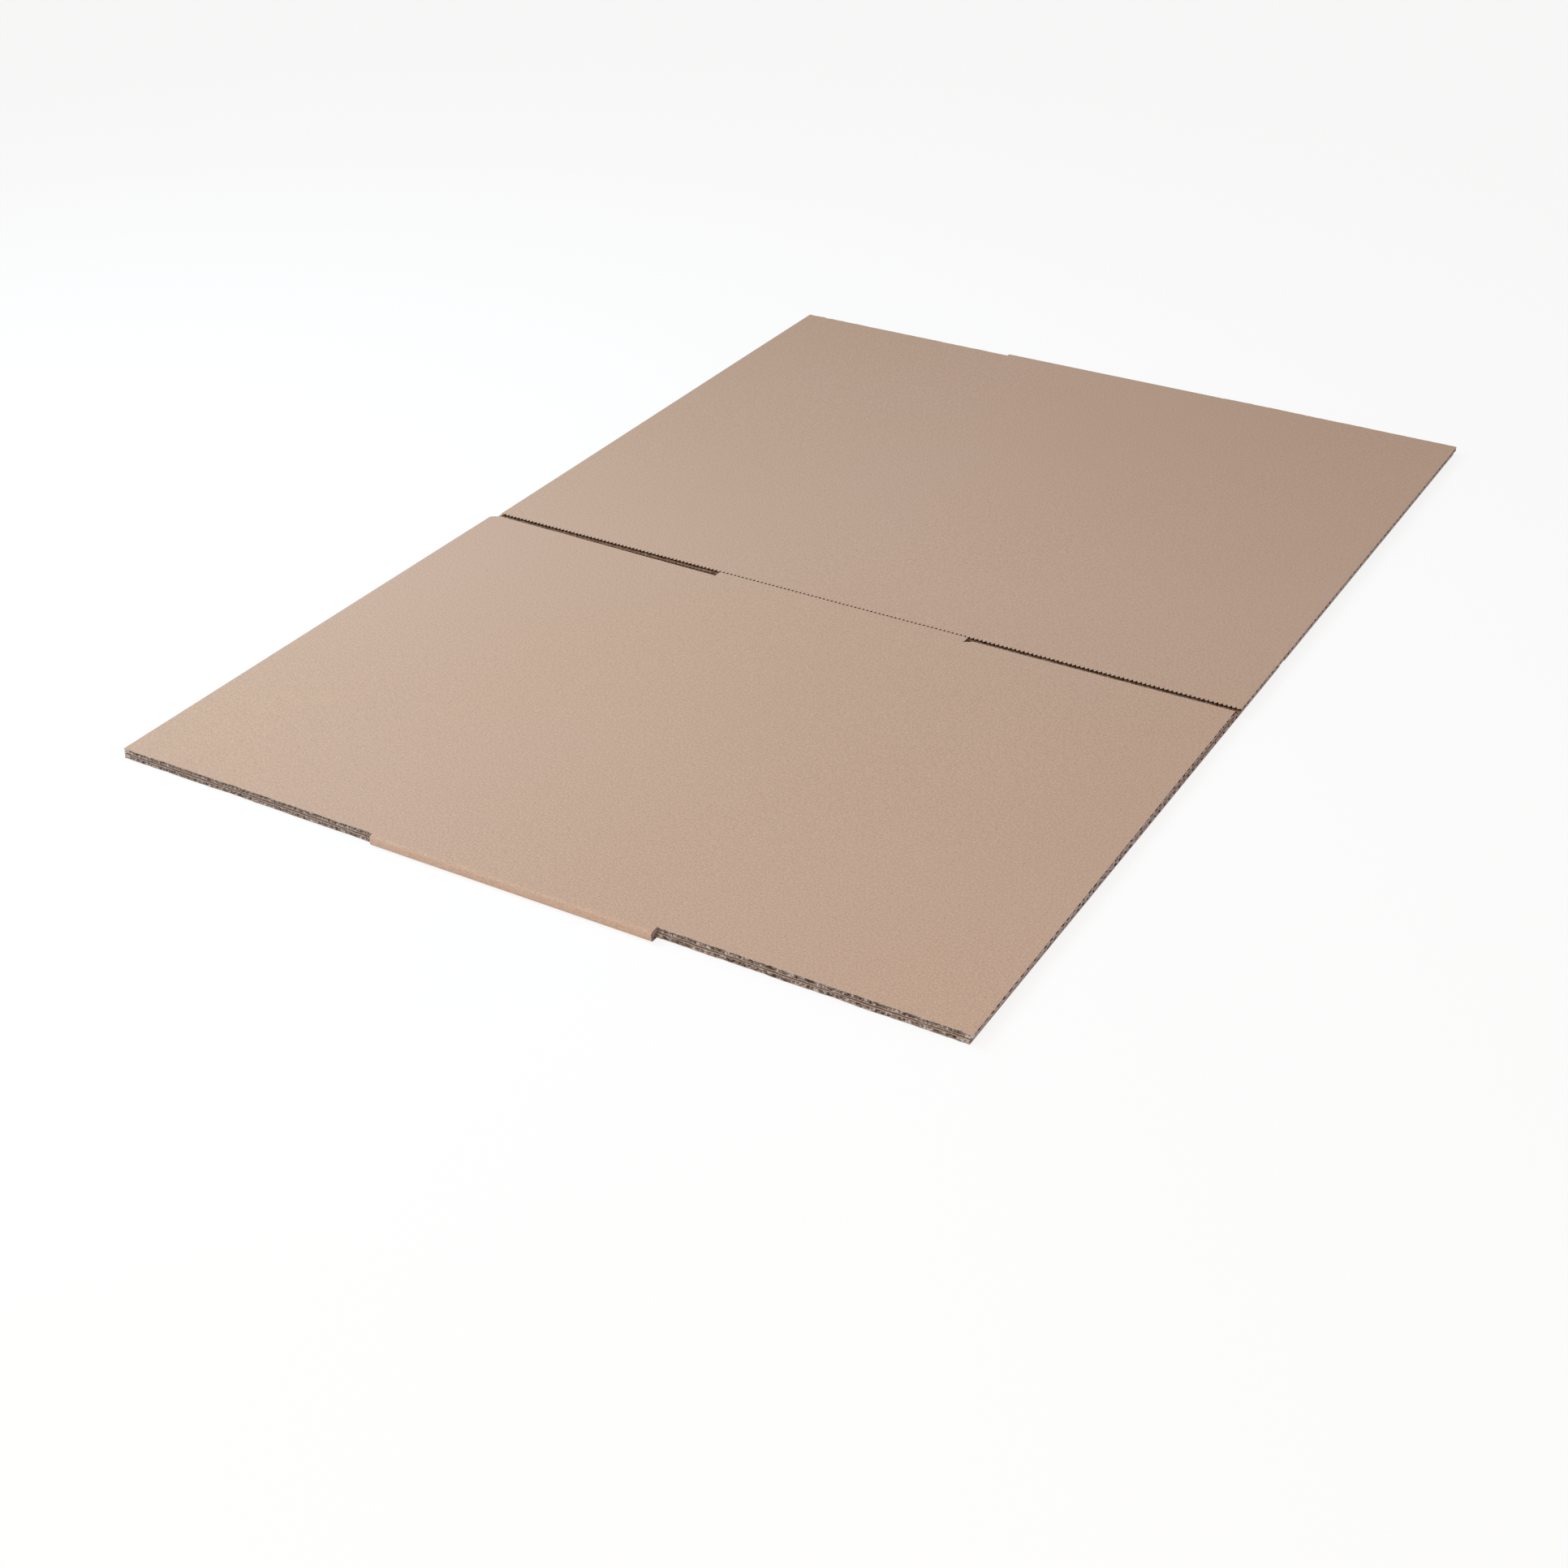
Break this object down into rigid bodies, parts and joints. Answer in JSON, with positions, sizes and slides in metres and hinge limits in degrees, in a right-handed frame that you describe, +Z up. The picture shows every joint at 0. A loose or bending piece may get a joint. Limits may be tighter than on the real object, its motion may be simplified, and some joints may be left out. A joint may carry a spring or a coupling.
{
  "type": "flattened cardboard box",
  "caption": "Regular slotted carton of single-wall corrugated board, glued at its side seam, folded flat and lying on its broad side.",
  "frame": {"origin": "middle of the underside, where the lower long panel rests on the floor", "axes": "+Y round the sleeve from the short top panel's fold to the long top panel's fold, +X along the flutes from one row of flaps to the other, +Z up through the two layers"},
  "size_m": [0.487, 0.7365, 0.006],
  "materials": {
    "corrugated_board": "matt unprinted kraft liner"
  },
  "bodies": {
    "root": {"flattened_box": "corrugated_board"}
  },
  "joints": []
}
